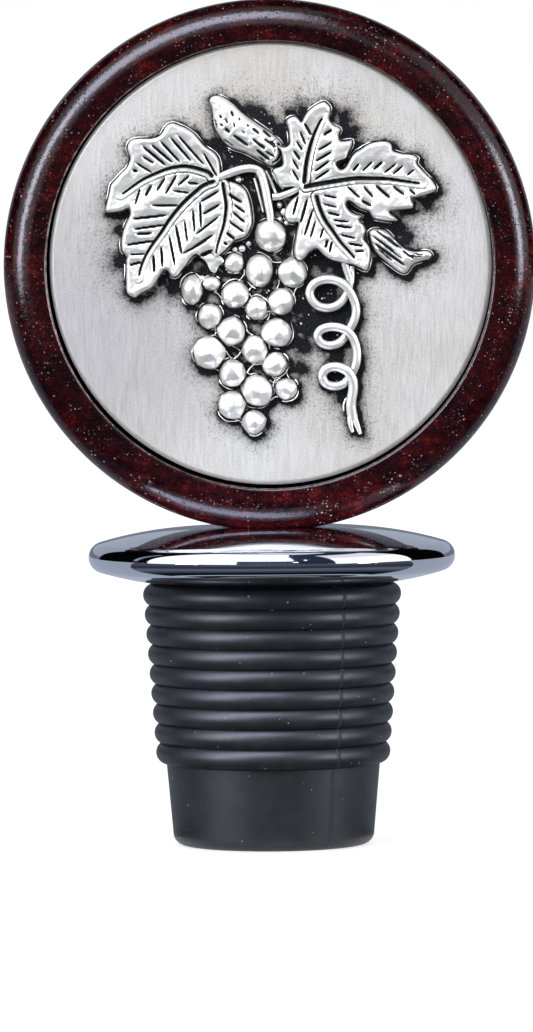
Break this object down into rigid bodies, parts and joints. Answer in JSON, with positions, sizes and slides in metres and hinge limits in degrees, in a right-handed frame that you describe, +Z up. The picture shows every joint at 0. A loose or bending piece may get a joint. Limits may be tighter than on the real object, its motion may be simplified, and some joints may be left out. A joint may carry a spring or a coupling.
{
  "type": "bottle stopper",
  "caption": "Round wood disc with a cast grape medallion, on a chromed cap with a ribbed rubber plug that seals a bottle neck.",
  "frame": {"origin": "middle of the rubber plug's flat end, which the stopper stands on", "axes": "+Z up the plug's axis, towards the disc; the medallion faces -Y; +X is to the right of someone who looks at the medallion"},
  "size_m": [0.0402, 0.0278, 0.0642],
  "materials": {
    "rubber": "moulded, matt",
    "chrome": "polished plating on a zinc casting",
    "steel": "zinc-plated steel stud",
    "wood": "dark red stain under gloss lacquer",
    "pewter": "satin pewter with black in the relief's hollows"
  },
  "bodies": {
    "root": {"rubber_sleeve": "rubber", "stopper_cap": "chrome", "threaded_stud": "steel", "wood_disc": "wood", "medallion": "pewter"}
  },
  "joints": []
}
